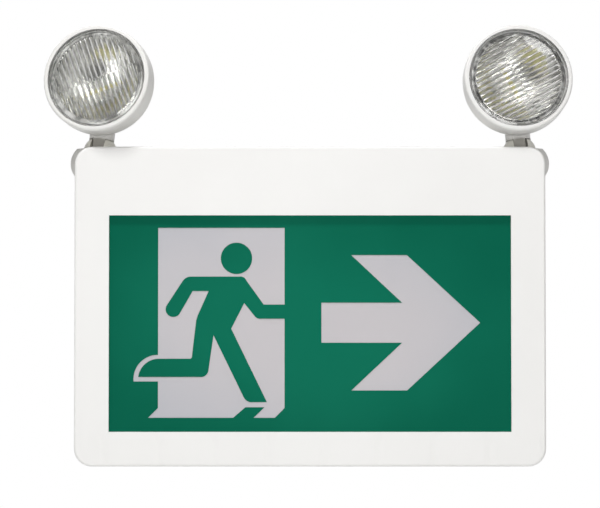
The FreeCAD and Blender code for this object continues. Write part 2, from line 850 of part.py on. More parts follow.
# --- Lamp heads, drawn about the pivot with the lamp looking along -Y -------------------
def turret(side):
    """The slotted ball with its hollow stem."""
    s = side_sign[side]
    origin = Vector(0, 0, 0)
    body = ball(ball_r, origin).fuse(rod(stem_r, origin, Vector(0, 0, -stem_l)))
    half = slot_w / 2
    floor_r = tongue_r + 2 * tongue_gap
    cuts = [block((-half, half), (-ball_r, ball_r), (-slot_floor, ball_r)),
            rod(floor_r, Vector(-half, 0, 0), Vector(half, 0, 0)),
            rod(stem_bore_r, origin, Vector(0, 0, -stem_l)),
            rod(pivot_r + pivot_fit, Vector(-ball_r, 0, 0), Vector(ball_r, 0, 0)),
            rod(pivot_head_r + button_gap, Vector(s * pivot_seat, 0, 0),
                Vector(s * 2 * ball_r, 0, 0)),
            hexagon(2 * pivot_head_r + button_gap, -s * pivot_seat, -s * 2 * ball_r)]
    return body.cut(cuts)


def hexagon(across, x0, x1):
    """A hexagonal bar along X."""
    corner = across / math.sqrt(3)
    points = [Vector(x0, corner * math.cos(math.radians(60 * i)),
                     corner * math.sin(math.radians(60 * i))) for i in range(6)]
    return Part.Face(Part.makePolygon(points + points[:1])).extrude(Vector(x1 - x0, 0, 0))


def pivot_screw(side):
    """The cross screw through both cheeks and the tongue."""
    s = side_sign[side]
    seat = s * pivot_seat
    end = -s * (pivot_seat + pivot_head_t)
    shank = rod(pivot_r, Vector(end, 0, 0), Vector(seat, 0, 0))
    head = rod(pivot_head_r, Vector(seat, 0, 0), Vector(seat + s * pivot_head_t, 0, 0))
    deep = sorted((seat + s * pivot_head_t, seat + s * pivot_head_t / 2))
    arm, thin = 0.65 * pivot_head_r, 0.12 * pivot_head_r
    cross = [block(deep, (-arm, arm), (-thin, thin)), block(deep, (-thin, thin), (-arm, arm))]
    return shank.fuse(head).cut(cross)


def pivot_nut(side):
    s = side_sign[side]
    nut = hexagon(2 * pivot_head_r, -s * pivot_seat, -s * (pivot_seat + pivot_head_t))
    return nut.cut(rod(pivot_r, Vector(-2 * ball_r, 0, 0), Vector(2 * ball_r, 0, 0)))


def tongue_span(side):
    """Low and high X of the tongue, which lies against the inner cheek."""
    s = side_sign[side]
    inner = -s * (slot_w / 2 - tongue_gap)
    return sorted((inner, inner + s * tongue_t))


def pivot_washer(side):
    """The friction washer that fills the slot beside the tongue."""
    s = side_sign[side]
    low, high = tongue_span(side)
    start = high if s > 0 else low
    end = s * slot_w / 2
    gap = s * pivot_fit
    a, b = Vector(start + gap, 0, 0), Vector(end - gap, 0, 0)
    return rod(0.7 * tongue_r, a, b).cut(rod(pivot_r + pivot_fit, a, b))


def turret_washer():
    top = -seat_z - turret_gap
    a, b = Vector(0, 0, top - turret_washer_t), Vector(0, 0, top)
    return rod(turret_washer_r, a, b).cut(rod(stem_r + pivot_fit, a, b))


def turret_nut():
    top = -seat_z - turret_gap - turret_washer_t
    corner = nut_af / math.sqrt(3)
    points = [Vector(corner * math.cos(math.radians(60 * i)),
                     corner * math.sin(math.radians(60 * i)), top) for i in range(6)]
    nut = Part.Face(Part.makePolygon(points + points[:1])).extrude(Vector(0, 0, -nut_t))
    return nut.cut(rod(stem_r, Vector(0, 0, top), Vector(0, 0, top - nut_t)))


def shell_profile(inset):
    """Half section of the shell's outside, or of its room when inset by the wall."""
    front, back = -lamp_front, lamp_back - inset
    radius, end_r = shell_r - inset, shell_back_r
    shoulder = -lamp_front + shell_straight
    mid_y = shoulder + shell_bulge * (back - shoulder)
    mid_r = end_r + shell_bulge * (radius - end_r)
    points = [Vector(0, y, lamp_h + r) for y, r in
              ((front, 0), (front, radius), (shoulder, radius), (mid_y, mid_r),
               (back, end_r), (back, 0))]
    axis_front, rim, start, via, end, axis_back = points
    return Part.Face(Part.Wire([
        Part.makeLine(axis_front, rim), Part.makeLine(rim, start),
        Part.Arc(start, via, end).toShape(),
        Part.makeLine(end, axis_back), Part.makeLine(axis_back, axis_front)]))


def turned(face):
    return face.revolve(Vector(0, 0, lamp_h), Vector(0, 1, 0), 360)


def led_boss_places(side):
    turn = math.radians(insert_turn[side])
    return [(i * led_boss_x * math.cos(turn), lamp_h + i * led_boss_x * math.sin(turn))
            for i in (-1, 1)]


def lamp_shell(side):
    """The cup with its rim, chin and tongue, and the bosses for the lamp board."""
    outer = turned(shell_profile(0))
    rim = [e for e in outer.Edges if abs(e.BoundBox.YMin + lamp_front) < 1e-6
           and abs(e.BoundBox.YMax + lamp_front) < 1e-6]
    outer = outer.makeFillet(rim_edge_r, rim)
    low, high = tongue_span(side)
    chin = rod(chin_r, Vector(0, 0, 0), Vector(0, 0, lamp_h - shell_back_r))
    chin = chin.cut(ball(ball_r + chin_gap, Vector(0, 0, 0)))
    tongue = block((low, high), (-tongue_r, tongue_r), (0, ball_r + 2 * chin_gap)).fuse(
        rod(tongue_r, Vector(low, 0, 0), Vector(high, 0, 0)))
    body = union([outer, chin, tongue])
    room = turned(shell_profile(shell_wall)).cut(
        rod_y(shell_r, 0, lamp_h, -lamp_front, lens_back_y))
    seat = rod_y(seat_bore_r, 0, lamp_h, -lamp_front, lens_back_y)
    ledge_y = lens_back_y + 2 * shell_wall
    throat = rod_y(lens_r - shell_wall / 2, 0, lamp_h, -lamp_front, ledge_y)
    hollow = union([room.common(rod_y(shell_r, 0, lamp_h, ledge_y, lamp_back)),
                    seat, throat])
    body = body.cut(hollow).cut(rod(pivot_r + pivot_fit, Vector(-ball_r, 0, 0),
                                    Vector(ball_r, 0, 0)))
    back = lamp_back - shell_wall / 2
    board_back = led_board_y + led_board_t
    bosses = [rod_y(led_boss_r, x, z, board_back, back) for x, z in led_boss_places(side)]
    holes = [rod_y(led_screw_r, x, z, board_back, board_back + boss_hole_deep)
             for x, z in led_boss_places(side)]
    return body.fuse(bosses).cut(holes).removeSplitter()


def lens(side):
    """The clear cap: a flange with snap lugs, a raised ring and a clear face."""
    ring_front = lens_set_back - lamp_front
    face_front = ring_front + lens_sink
    flange_front = lens_back_y - lens_flange_t
    body = revolve_y([(face_front, 0), (face_front, lens_clear_r),
                      (ring_front, lens_clear_r), (ring_front, lens_ring_r),
                      (flange_front, lens_ring_r), (flange_front, lens_r),
                      (lens_back_y, lens_r), (lens_back_y, lens_clear_r),
                      (face_front + lens_t, lens_clear_r), (face_front + lens_t, 0)],
                     lamp_h)
    lugs = []
    for i in range(lug_count):
        lug = block((-lug_w / 2, lug_w / 2), (flange_front, lens_back_y),
                    (lens_ring_r, seat_bore_r))
        turn = Rotation(Vector(0, 1, 0), insert_turn[side] + i * 360 / lug_count)
        lugs.append(lug.transformed(Placement(Vector(0, 0, lamp_h), turn).toMatrix(),
                                    True))
    bore = rod_y(seat_bore_r, 0, lamp_h, flange_front, lens_back_y)
    lugs = [lug.common(bore) for lug in lugs]
    return union([body] + lugs)


def reflector():
    """A bright bowl: a parabola from the lens back to the lamp board."""
    front = lens_back_y
    end = reflector_end
    steps = 6
    slope = (reflector_r ** 2 - reflector_hole_r ** 2) / (end - front)
    inner, outer = [], []
    for i in range(steps + 1):
        y = front + (end - front) * i / steps
        r = math.sqrt(reflector_r ** 2 - slope * (y - front))
        inner.append(Vector(0, y, lamp_h + r))
        outer.append(Vector(0, y, lamp_h + r + reflector_t))
    flange_r = lens_r - shell_wall / 2 - tongue_gap
    flange = [Vector(0, y, lamp_h + flange_r) for y in (front, front + reflector_t)]
    outer[0] = Vector(0, front + reflector_t, lamp_h + reflector_r + reflector_t)
    inside, outside = Part.BSplineCurve(), Part.BSplineCurve()
    inside.interpolate(inner)
    outside.interpolate(outer)
    face = Part.Face(Part.Wire([
        inside.toShape(), Part.makeLine(inner[-1], outer[-1]), outside.toShape(),
        Part.makeLine(outer[0], flange[1]), Part.makeLine(flange[1], flange[0]),
        Part.makeLine(flange[0], inner[0])]))
    return turned(face)


def led_board(side):
    board = rod_y(led_board_r, 0, lamp_h, led_board_y, led_board_y + led_board_t)
    return board.cut([rod_y(led_screw_r, x, z, led_board_y, led_board_y + led_board_t)
                      for x, z in led_boss_places(side)])


def led_board_screws(side):
    screws = []
    for x, z in led_boss_places(side):
        shank = rod_y(led_screw_r, x, z, led_board_y,
                      led_board_y + led_board_t + led_screw_bite)
        head = rod_y(led_screw_head_r, x, z, led_board_y - led_screw_head_t, led_board_y)
        screws.append(shank.fuse(head))
    return Part.makeCompound(screws)


def led_chips(side):
    """Four chips in a row, turned with the lens."""
    turn = math.radians(insert_turn[side]) + math.pi / 2
    half = chip_size / 2
    chips = []
    for i in range(chip_count):
        along = (i - (chip_count - 1) / 2) * chip_pitch
        chip = block((-half, half), (led_board_y - chip_t, led_board_y), (-half, half))
        spot = Placement(Vector(along * math.cos(turn), 0,
                                lamp_h + along * math.sin(turn)),
                         Rotation(Vector(0, 1, 0), -math.degrees(turn)))
        chips.append(chip.transformed(spot.toMatrix(), True))
    return Part.makeCompound(chips)


# --- Write one file for each piece -----------------------------------------------------
for name, piece in {
        "back_housing": back_housing(), "face_cover": face_cover(),
        "legend_panel": legend_panel(), "legend_print": legend_print(),
        "light_box": light_box(), "light_box_screws": light_box_screws(),
        "led_bar_top": led_bar(1), "led_bar_bottom": led_bar(-1),
        "bar_chips_top": bar_chips(1), "bar_chips_bottom": bar_chips(-1),
        "control_board": control_board(), "board_screws": board_screws(),
        "relay": relay(), "board_capacitors": board_capacitors(),
        "terminal_block": terminal_block(), "battery_pack": battery_pack(),
        "battery_strap": battery_strap(), "strap_screws": strap_screws(),
        "transformer_core": transformer_core(), "transformer_coil": transformer_coil(),
        "transformer_frame": transformer_frame(), "test_switch": test_switch(),
        "test_button": test_button(), "charge_lamp": charge_lamp()}.items():
    save(name, piece)

for side in side_sign:
    knuckle, lamp = swivel_turn(side), lamp_turn(side)
    for name, piece, turn in (
            ("turret", turret(side), knuckle),
            ("turret_washer", turret_washer(), knuckle),
            ("turret_nut", turret_nut(), knuckle),
            ("pivot_screw", pivot_screw(side), knuckle),
            ("pivot_nut", pivot_nut(side), knuckle),
            ("pivot_washer", pivot_washer(side), knuckle),
            ("lamp_shell", lamp_shell(side), lamp),
            ("lens", lens(side), lamp),
            ("reflector", reflector(), lamp),
            ("led_board", led_board(side), lamp),
            ("led_board_screws", led_board_screws(side), lamp),
            ("led_chips", led_chips(side), lamp)):
        save(name + "_" + side, place(piece, side, turn))
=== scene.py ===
# %% [markdown]
# # An emergency exit light
#
# The light is a white housing with a recessed legend, and two lamp heads on
# slotted ball knuckles above it. Its shape comes from the CAD model, apart from the
# two ribbed lenses, which are modelled here. Each cell says what a piece or a
# finish is on the real light, how it could be made, and why it is made this way.

# %% Load the CAD frame
import json
import math

import bpy
from mathutils import Matrix, Vector

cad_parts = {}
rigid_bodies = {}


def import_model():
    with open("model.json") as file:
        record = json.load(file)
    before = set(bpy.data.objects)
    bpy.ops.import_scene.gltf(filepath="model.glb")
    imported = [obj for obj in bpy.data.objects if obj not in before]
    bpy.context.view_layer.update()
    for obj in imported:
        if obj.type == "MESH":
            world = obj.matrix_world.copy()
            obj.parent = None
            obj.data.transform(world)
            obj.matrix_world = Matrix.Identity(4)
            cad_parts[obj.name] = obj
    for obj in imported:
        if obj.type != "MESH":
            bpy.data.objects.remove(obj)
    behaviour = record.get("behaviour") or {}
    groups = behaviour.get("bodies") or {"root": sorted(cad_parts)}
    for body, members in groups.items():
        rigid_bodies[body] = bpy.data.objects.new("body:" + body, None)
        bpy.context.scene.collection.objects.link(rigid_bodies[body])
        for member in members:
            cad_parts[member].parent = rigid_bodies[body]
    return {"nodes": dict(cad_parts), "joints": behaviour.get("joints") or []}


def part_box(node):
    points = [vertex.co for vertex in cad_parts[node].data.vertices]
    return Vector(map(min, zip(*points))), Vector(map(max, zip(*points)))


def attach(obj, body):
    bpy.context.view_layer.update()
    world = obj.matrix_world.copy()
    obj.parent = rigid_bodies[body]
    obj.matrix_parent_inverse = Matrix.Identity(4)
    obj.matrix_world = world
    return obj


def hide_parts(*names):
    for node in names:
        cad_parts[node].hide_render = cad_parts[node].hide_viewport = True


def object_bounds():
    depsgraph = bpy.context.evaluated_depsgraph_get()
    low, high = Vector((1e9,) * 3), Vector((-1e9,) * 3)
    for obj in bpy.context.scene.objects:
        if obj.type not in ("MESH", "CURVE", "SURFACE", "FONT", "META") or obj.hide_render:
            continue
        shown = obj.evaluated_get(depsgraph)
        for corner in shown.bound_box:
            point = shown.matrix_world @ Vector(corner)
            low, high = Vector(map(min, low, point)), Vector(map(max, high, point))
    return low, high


MM = 0.001
SIDES = ("left", "right")


def in_mm(values):
    return [round(value / MM, 1) for value in values]


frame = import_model()
cad_low, cad_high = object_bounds()
bpy.ops.object.select_all(action="DESELECT")
print("CAD nodes:", len(frame["nodes"]))
print("CAD box in mm:", in_mm((*cad_low, *cad_high)))

# %% [markdown]
# ## Colours
#
# Paint and plastic are named on colour cards by three numbers from 0 to 255.
# Blender's shaders count light instead, so each number is turned into a share of
# light with the standard curve. One short function does that for every finish.

# %% Colour card numbers to light
def card(red, green, blue):
    def light(number):
        share = number / 255
        return share / 12.92 if share <= 0.04045 else ((share + 0.055) / 1.055) ** 2.4

    return (light(red), light(green), light(blue), 1.0)


print("housing white as light:", [round(v, 3) for v in card(241, 240, 238)])

# %% [markdown]
# ## Node groups, the shared recipes
#
# Several finishes share the same effect with other values, so each effect is
# built once as a node group. The helpers below make an empty group with named
# inputs and outputs, and the small steps that the groups are built from: a noise,
# a step of arithmetic, a remapped range and a blend of two colours. A term may be
# a socket or a plain value.

# %% Helpers for shader groups
VECTOR, COLOUR, NUMBER = "NodeSocketVector", "NodeSocketColor", "NodeSocketFloat"
FULL, REVERSED = (0.0, 1.0), (1.0, 0.0)
# Noise seldom leaves the middle of its range, so a remap starts from there.
NOISE_WIDE, NOISE_MIDDLE, NOISE_CORE = (0.3, 0.7), (0.35, 0.65), (0.4, 0.6)
# A colour mix node has sockets for other kinds of data too; these are its colour ones.
MIX_FACTOR, MIX_FIRST, MIX_SECOND, MIX_RESULT = 0, 6, 7, 2


def start_group(name, inputs, outputs):
    group = bpy.data.node_groups.new(name, "ShaderNodeTree")
    for label, kind, value in inputs:
        socket = group.interface.new_socket(label, in_out="INPUT", socket_type=kind)
        if value is not None:
            socket.default_value = value
    for label, kind in outputs:
        group.interface.new_socket(label, in_out="OUTPUT", socket_type=kind)
    return group, group.nodes.new("NodeGroupInput"), group.nodes.new("NodeGroupOutput")


def feed(tree, term, socket):
    if isinstance(term, bpy.types.NodeSocket):
        tree.links.new(term, socket)
    else:
        socket.default_value = term


def arithmetic(tree, kind, operation, terms):
    node = tree.nodes.new(kind)
    node.operation = operation
    for socket, term in zip(node.inputs, terms):
        feed(tree, term, socket)
    return node


def number_step(tree, operation, *terms):
    return arithmetic(tree, "ShaderNodeMath", operation, terms).outputs["Value"]


def vector_step(tree, operation, *terms):
    gives = "Value" if operation in ("LENGTH", "DISTANCE") else "Vector"
    return arithmetic(tree, "ShaderNodeVectorMath", operation, terms).outputs[gives]


def noise(tree, place, scale, detail):
    node = tree.nodes.new("ShaderNodeTexNoise")
    for label, term in (("Vector", place), ("Scale", scale), ("Detail", detail)):
        feed(tree, term, node.inputs[label])
    return node.outputs["Fac"]


def spread(tree, value, old, new, soft=False):
    remap = tree.nodes.new("ShaderNodeMapRange")
    remap.interpolation_type = "SMOOTHSTEP" if soft else "LINEAR"
    labels = ("Value", "From Min", "From Max", "To Min", "To Max")
    for label, term in zip(labels, (value, *old, *new)):
        feed(tree, term, remap.inputs[label])
    return remap.outputs["Result"]


def play(amount):
    return -amount, amount


def blend_colours(tree, factor, first, second):
    mix = tree.nodes.new("ShaderNodeMix")
    mix.data_type = "RGBA"
    feed(tree, factor, mix.inputs[MIX_FACTOR])
    feed(tree, first, mix.inputs[MIX_FIRST])
    feed(tree, second, mix.inputs[MIX_SECOND])
    return mix.outputs[MIX_RESULT]


print("a play of 0.05 runs over", play(0.05))

# %% [markdown]
# ## Moulded skin
#
# A moulded cover is never one flat colour. The plastic flowed in from a gate, so
# its tone drifts slowly over the face, and the mould was spark eroded, which
# leaves a grain too fine to see as bumps but enough to break up the gloss. An
# image could hold both; two noise textures read from Object coordinates do it at
# any size, and stay with the piece when it turns.

# %% The moulded skin group
GRAIN_PLAY = 0.05      # how far the grain moves the roughness

skin, entry, leave = start_group(
    "moulded_skin",
    [("Place", VECTOR, None), ("Colour", COLOUR, None), ("Second Colour", COLOUR, None),
     ("Drift Scale", NUMBER, 9.0), ("Grain Scale", NUMBER, 1400.0),
     ("Roughness", NUMBER, 0.45)],
    [("Colour", COLOUR), ("Roughness", NUMBER), ("Height", NUMBER)],
)
drift = noise(skin, entry.outputs["Place"], entry.outputs["Drift Scale"], detail=2.0)
grain = noise(skin, entry.outputs["Place"], entry.outputs["Grain Scale"], detail=3.0)
tone = blend_colours(skin, spread(skin, drift, NOISE_MIDDLE, FULL),
                     entry.outputs["Colour"], entry.outputs["Second Colour"])
roughen = number_step(skin, "ADD", entry.outputs["Roughness"],
                      spread(skin, grain, NOISE_WIDE, play(GRAIN_PLAY)))
skin.links.new(tone, leave.inputs["Colour"])
skin.links.new(roughen, leave.inputs["Roughness"])
skin.links.new(grain, leave.inputs["Height"])
print("group:", skin.name, "with", len(skin.nodes), "nodes")

# %% [markdown]
# ## A material from a group
#
# Every finish starts alike: a Principled shader, Object coordinates, and one
# group placed between them. What varies over the surface comes from the group,
# and what is the same all over is set on the shader itself.

# %% Helpers that place a group in a material
PLASTIC_IOR = 1.49
GRAIN_BUMP, GRAIN_DEPTH = 0.15, 0.1 * MM
dressed = set()


def principled(material):
    return material.node_tree.nodes["Principled BSDF"]


def place_group(material, group, values):
    tree = material.node_tree
    effect = tree.nodes.new("ShaderNodeGroup")
    effect.node_tree = group
    place = tree.nodes.new("ShaderNodeTexCoord")
    tree.links.new(place.outputs["Object"], effect.inputs["Place"])
    for label, value in values.items():
        effect.inputs[label.replace("_", " ")].default_value = value
    return effect


def start_material(name, group, **values):
    material = bpy.data.materials.new(name)
    material.use_nodes = True
    effect = place_group(material, group, values)
    links, shader = material.node_tree.links, principled(material)
    links.new(effect.outputs["Colour"], shader.inputs["Base Color"])
    links.new(effect.outputs["Roughness"], shader.inputs["Roughness"])
    return material, effect


def add_bump(material, height, strength, distance):
    tree, normal = material.node_tree, principled(material).inputs["Normal"]
    bump = tree.nodes.new("ShaderNodeBump")
    bump.inputs["Strength"].default_value = strength
    bump.inputs["Distance"].default_value = distance
    tree.links.new(height, bump.inputs["Height"])
    for link in list(normal.links):
        tree.links.new(link.from_socket, bump.inputs["Normal"])
    tree.links.new(bump.outputs["Normal"], normal)


def moulded(name, colour, second, roughness):
    material, effect = start_material(
        name, skin, Colour=colour, Second_Colour=second, Roughness=roughness)
    principled(material).inputs["IOR"].default_value = PLASTIC_IOR
    add_bump(material, effect.outputs["Height"], GRAIN_BUMP, GRAIN_DEPTH)
    return material


def dress(material, *names):
    for name in names:
        mesh = frame["nodes"][name].data
        mesh.materials.clear()
        mesh.materials.append(material)
        dressed.add(name)


def pair(name):
    return [name + "_" + side for side in SIDES]


print("a pair is named like", pair("turret"))

# %% [markdown]
# ## Sink marks on the cover
#
# Behind the lower bar of the cover stand ribs. Plastic shrinks a little more
# where a rib meets the wall, and leaves shallow marks on the face, at the pitch of
# the ribs. They are far too shallow to model, so a second group makes a height
# from the distance to the nearest rib, faded out above the bar.

# %% The sink mark group and the whites of the housing
BAR_FADE = 8 * MM      # the marks fade out over this much below the top of the bar
SINK_BUMP, SINK_DEPTH = 0.5, 0.4 * MM

sinks, entry, leave = start_group(
    "sink_marks",
    [("Place", VECTOR, None), ("First Mark", NUMBER, 0.0094), ("Pitch", NUMBER, 0.0368),
     ("Half Width", NUMBER, 0.004), ("Bar Top", NUMBER, -0.084)],
    [("Height", NUMBER)],
)
parts = sinks.nodes.new("ShaderNodeSeparateXYZ")
sinks.links.new(entry.outputs["Place"], parts.inputs[0])
along = number_step(sinks, "SUBTRACT", parts.outputs["X"], entry.outputs["First Mark"])
half_pitch = number_step(sinks, "MULTIPLY", entry.outputs["Pitch"], 0.5)
nearest = number_step(sinks, "PINGPONG", along, half_pitch)
share = number_step(sinks, "DIVIDE", nearest, entry.outputs["Half Width"])
dent = spread(sinks, share, FULL, FULL, soft=True)
below = number_step(sinks, "SUBTRACT", parts.outputs["Z"], entry.outputs["Bar Top"])
faded = spread(sinks, below, (-BAR_FADE, 0.0), FULL, soft=True)
sinks.links.new(number_step(sinks, "MAXIMUM", dent, faded), leave.inputs["Height"])

# The tray's white is darker than the cover's as painted shade for its corner bulges, which
# sit behind the cover and under the heads.
tray_shaded_white = moulded("tray_shaded_white", card(228, 227, 224), card(222, 221, 216), 0.5)
knuckle_white = moulded("knuckle_white", card(232, 230, 221), card(226, 224, 214), 0.4)
cover_white = moulded("cover_white", card(243, 242, 240), card(240, 239, 237), 0.48)
marks = place_group(cover_white, sinks, {})
add_bump(cover_white, marks.outputs["Height"], SINK_BUMP, SINK_DEPTH)
dress(tray_shaded_white, "back_housing")
dress(cover_white, "face_cover")
dress(knuckle_white, *pair("turret"))
print("dressed so far:", sorted(dressed))

# %% [markdown]
# ## Painted shade at the pivots
#
# The tongue of each lamp shell turns between the cheeks of its knuckle, in the
# shade under the head. That shade is painted: the tongue is made greyer than the
# rest of the shell. A group gives a mask that falls off with the distance from the
# pivot, and the material blends a grey in by it. Each head has its own pivot,
# which the tilt joint gives.

# %% The pivot mask and the lamp shells
# painted shade: this grey stands for the shade on each tongue under its head
PAINTED_SHADE_GREY = card(160, 157, 150)
SHADE_EDGE = (0.85, 1.1)     # shares of the reach between which the grey ends

pivot_shade, entry, leave = start_group(
    "pivot_painted_shade",
    [("Place", VECTOR, None), ("Pivot", VECTOR, None), ("Reach", NUMBER, 0.0125)],
    [("Mask", NUMBER)],
)
away = vector_step(pivot_shade, "DISTANCE", entry.outputs["Place"], entry.outputs["Pivot"])
share = number_step(pivot_shade, "DIVIDE", away, entry.outputs["Reach"])
pivot_shade.links.new(spread(pivot_shade, share, SHADE_EDGE, REVERSED, soft=True), leave.inputs["Mask"])


def joint(name):
    return next(one for one in frame["joints"] if one["name"] == name)


for side in SIDES:
    head_white = moulded("head_white_" + side, card(236, 235, 233), card(232, 231, 227), 0.4)
    tree, pivot = head_white.node_tree, joint("tilt_" + side)["pos_m"]
    mask = place_group(head_white, pivot_shade, {"Pivot": pivot})
    base = principled(head_white).inputs["Base Color"]
    unshaded = base.links[0].from_socket
    # the painted shade is blended over the shell's own colour near the pivot
    tree.links.new(blend_colours(tree, mask.outputs["Mask"], unshaded, PAINTED_SHADE_GREY), base)
    dress(head_white, "lamp_shell_" + side)
    print("pivot", side, "in mm:", in_mm(pivot))

# %% [markdown]
# ## The legend
#
# The legend is an acrylic sheet with green printed on it. Daylight fills it from
# the front and is weaker near the frame, so both the green and the clear parts
# are lighter in the middle of the sheet than at its edge. One group serves both:
# it blends a middle and an edge colour by the distance from the middle of the
# window, and lets a slow noise break the gradient. The print is matt, so almost
# no highlight lies over the green.

# %% The panel glow group
GLOW_FADE = (0.3, 1.25)    # from the middle (0) to the frame (1) and past it
GLOW_PLAY, PRINT_PLAY = 0.15, 0.04

glow, entry, leave = start_group(
    "panel_glow",
    [("Place", VECTOR, None), ("Middle", VECTOR, None), ("Share", VECTOR, None),
     ("Colour", COLOUR, None), ("Edge Colour", COLOUR, None),
     ("Drift Scale", NUMBER, 12.0), ("Roughness", NUMBER, 0.5)],
    [("Colour", COLOUR), ("Roughness", NUMBER)],
)
from_middle = vector_step(glow, "SUBTRACT", entry.outputs["Place"], entry.outputs["Middle"])
shares = vector_step(glow, "MULTIPLY", from_middle, entry.outputs["Share"])
drift = noise(glow, entry.outputs["Place"], entry.outputs["Drift Scale"], detail=2.0)
reach = number_step(glow, "ADD", vector_step(glow, "LENGTH", shares),
                    spread(glow, drift, NOISE_WIDE, play(GLOW_PLAY)))
tone = blend_colours(glow, spread(glow, reach, GLOW_FADE, FULL, soft=True),
                     entry.outputs["Colour"], entry.outputs["Edge Colour"])
roughen = number_step(glow, "ADD", entry.outputs["Roughness"],
                      spread(glow, drift, NOISE_WIDE, play(PRINT_PLAY)))
glow.links.new(tone, leave.inputs["Colour"])
glow.links.new(roughen, leave.inputs["Roughness"])
print("group:", glow.name, "with", len(glow.nodes), "nodes")

# %% [markdown]
# ## Sheet and print
#
# The group has to know where the window is. The CAD box of the sheet gives its
# middle, and one over each half size turns a distance into a share of the way to
# the frame. The sheet and the print then differ in colour and gloss alone.

# %% Legend sheet and print
legend_low, legend_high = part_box("legend_panel")


def middle_of(low, high):
    return [(a + b) / 2 for a, b in zip(low, high)]


legend_middle = middle_of(legend_low, legend_high)
legend_share = [2 / (legend_high[0] - legend_low[0]), 0.0,
                2 / (legend_high[2] - legend_low[2])]


def legend_finish(name, colour, edge, gloss):
    material, _ = start_material(
        name, glow, Middle=legend_middle, Share=legend_share, Colour=colour,
        Edge_Colour=edge)
    principled(material).inputs["Specular IOR Level"].default_value = gloss
    return material


dress(legend_finish("legend_white", card(199, 195, 198), card(187, 187, 193), 0.3),
      "legend_panel")
dress(legend_finish("legend_green", card(13, 113, 88), card(6, 98, 75), 0.02),
      "legend_print")
print("legend middle in mm:", in_mm(legend_middle))

# %% [markdown]
# ## The clear lens
#
# Each lens is one clear moulding: a flange with twelve snap lugs, a raised ring,
# and a face whose back carries rounded ribs in two rows, half a pitch apart, which
# spread the beam. The CAD lens has the flange, ring and lugs but a plain face, and
# bump would fake the ribs from the front only, so the whole lens is modelled
# here. It is made once, lying flat at the origin, and copied to both heads.

# %% Sizes of the lens, and tools for shaping by hand
LENS_FLANGE_R, LENS_RING_R, LENS_CLEAR_R = 32.9 * MM, 30.9 * MM, 29.1 * MM
LENS_FLANGE_T, LENS_RING_RISE, LENS_SINK = 2.0 * MM, 1.0 * MM, 0.3 * MM
LENS_PLATE_BACK = 1.1 * MM          # back of the plain face, from the back of the flange
LUG_COUNT, LUG_OUT = 12, 0.58 * MM
FACETS = 12 * LUG_COUNT             # so that each lug is one facet of the rim
EDGE_ROUND, EDGE_STEPS, EDGE_ANGLE = 0.15 * MM, 2, math.radians(40)
SMOOTH_ANGLE = math.radians(30)
RIB_PITCH, RIB_H = 3.4 * MM, 0.9 * MM
RIB_BITE = 0.2 * MM                 # how far the ribs run into the face, and rows overlap
RIB_FACETS = 64
TRIM_T = 4 * RIB_H                  # the trimming disc reaches past the crests
RIB_RUN = {"left": math.radians(-65.0), "right": math.radians(23.5)}
FLAT_ON, EDGE_ON = 0.9, 0.1         # a normal's share along the lens axis


def only(piece):
    bpy.ops.object.select_all(action="DESELECT")
    piece.select_set(True)
    bpy.context.view_layer.objects.active = piece


def pick_faces(piece, test):
    bpy.ops.mesh.select_all(action="DESELECT")
    bpy.ops.object.mode_set(mode="OBJECT")
    for face in piece.data.polygons:
        face.select = test(face)
    bpy.ops.object.mode_set(mode="EDIT")


def apply_modifier(piece, name, kind, **values):
    modifier = piece.modifiers.new(name, kind)
    for label, value in values.items():
        setattr(modifier, label, value)
    only(piece)
    bpy.ops.object.modifier_apply(modifier=name)


def add_cylinder(**values):
    bpy.ops.mesh.primitive_cylinder_add(**values)
    bpy.ops.object.transform_apply(location=True, rotation=True, scale=True)
    return bpy.context.object


def inset_and_move(inset, rise):
    bpy.ops.mesh.inset(thickness=inset)
    bpy.ops.mesh.extrude_region_move(TRANSFORM_OT_translate={"value": (0, 0, rise)})


print("lens in mm:", in_mm((2 * LENS_FLANGE_R, LENS_FLANGE_T + LENS_RING_RISE)))

# %% [markdown]
# ## Its body
#
# The body starts as a disc. Its front is inset and raised to the ring, then inset
# and sunk to the face; its back is inset and raised, which leaves the thin plain
# face. The lugs are single facets of the rim, pushed outwards, and a small bevel
# rounds the sharp edges. A revolved profile could make the rings, but not the lugs.

# %% The lens body
def is_lug(face):
    turn = math.atan2(face.center.y, face.center.x) / (2 * math.pi) * LUG_COUNT
    off = (turn - round(turn)) * FACETS / LUG_COUNT
    outer = math.hypot(face.center.x, face.center.y) > (LENS_RING_R + LENS_FLANGE_R) / 2
    return outer and 0 < off < 1 and abs(face.normal.z) < EDGE_ON


def lens_body():
    body = add_cylinder(vertices=FACETS, radius=LENS_FLANGE_R, depth=LENS_FLANGE_T,
                        location=(0, 0, LENS_FLANGE_T / 2))
    bpy.ops.object.mode_set(mode="EDIT")
    bpy.ops.mesh.select_mode(type="FACE")

    pick_faces(body, lambda face: face.normal.z > FLAT_ON)
    inset_and_move(LENS_FLANGE_R - LENS_RING_R, LENS_RING_RISE)
    inset_and_move(LENS_RING_R - LENS_CLEAR_R, -LENS_SINK)

    pick_faces(body, lambda face: face.normal.z < -FLAT_ON)
    inset_and_move(LENS_FLANGE_R - LENS_CLEAR_R, LENS_PLATE_BACK)

    pick_faces(body, is_lug)
    lugs = sum(face.select for face in body.data.polygons)
    bpy.ops.mesh.extrude_faces_move(TRANSFORM_OT_shrink_fatten={"value": LUG_OUT})
    bpy.ops.object.mode_set(mode="OBJECT")
    apply_modifier(body, "edges", "BEVEL", width=EDGE_ROUND, segments=EDGE_STEPS,
                   limit_method="ANGLE", angle_limit=EDGE_ANGLE)
    print("lens body: lugs", lugs, "faces", len(body.data.polygons))
    return body


flat_lens = lens_body()

# %% [markdown]
# ## Its ribs
#
# A rib is a bar cut flat along its length and arrayed into a row. Two rows meet
# at the middle of the lens, each a quarter pitch off, one each way. They are
# trimmed by a disc a little smaller than the face and joined to the body, so that
# the lens is one closed mesh that light can pass through.

